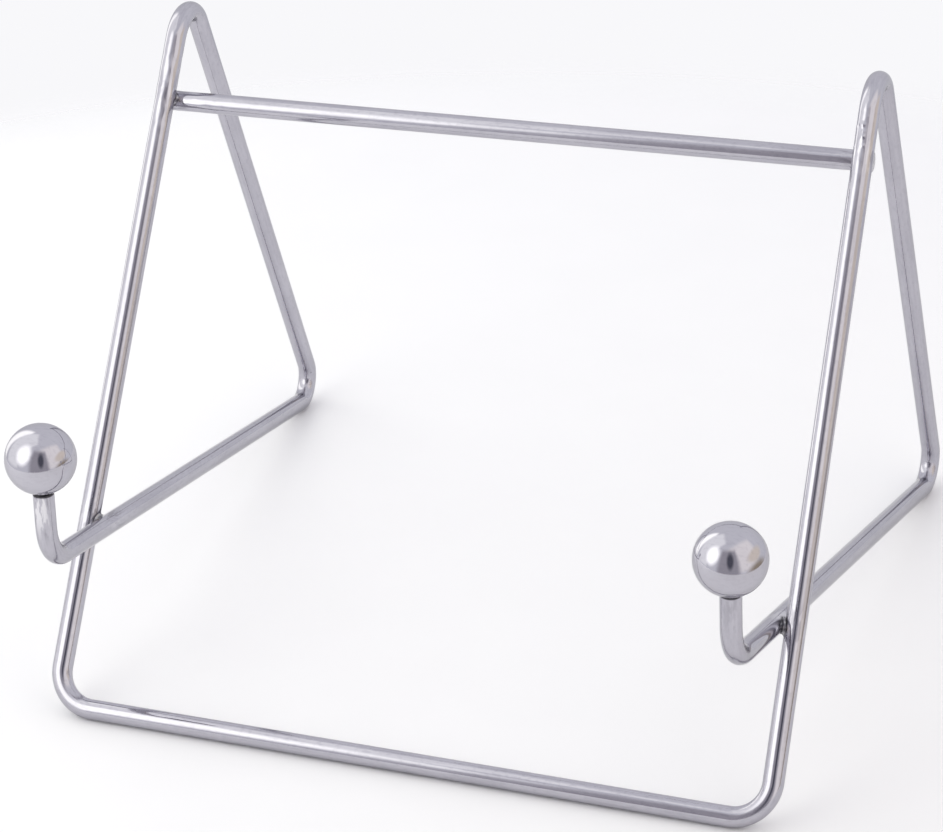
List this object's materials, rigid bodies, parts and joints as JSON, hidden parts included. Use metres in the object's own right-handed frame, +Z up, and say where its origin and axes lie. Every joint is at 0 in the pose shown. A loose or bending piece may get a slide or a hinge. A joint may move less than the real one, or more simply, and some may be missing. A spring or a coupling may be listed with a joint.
{
  "type": "photo album stand",
  "caption": "Chrome wire easel that holds an open album on two sloping rails, with ball-tipped hooks in front and a cross rod behind.",
  "frame": {"origin": "on the table, midway between the two sides and midway between the front of the balls and the back of the rear bends", "axes": "+X to the right seen from the front, +Y to the back, +Z up"},
  "size_m": [0.2224, 0.2386, 0.1771],
  "materials": {
    "rod_chrome": "bright chrome plate over drawn steel rod, with faint drawing lines and a few pits at the bends",
    "ball_chrome": "bright polished chrome plate",
    "braze_chrome": "chrome plate over an unpolished braze bead, slightly wavy"
  },
  "bodies": {
    "root": {"frame_rod": "rod_chrome", "cross_rod": "rod_chrome", "left_ball": "ball_chrome", "right_ball": "ball_chrome", "left_rail_braze": "braze_chrome", "right_rail_braze": "braze_chrome", "left_cross_braze": "braze_chrome", "right_cross_braze": "braze_chrome"}
  },
  "joints": []
}
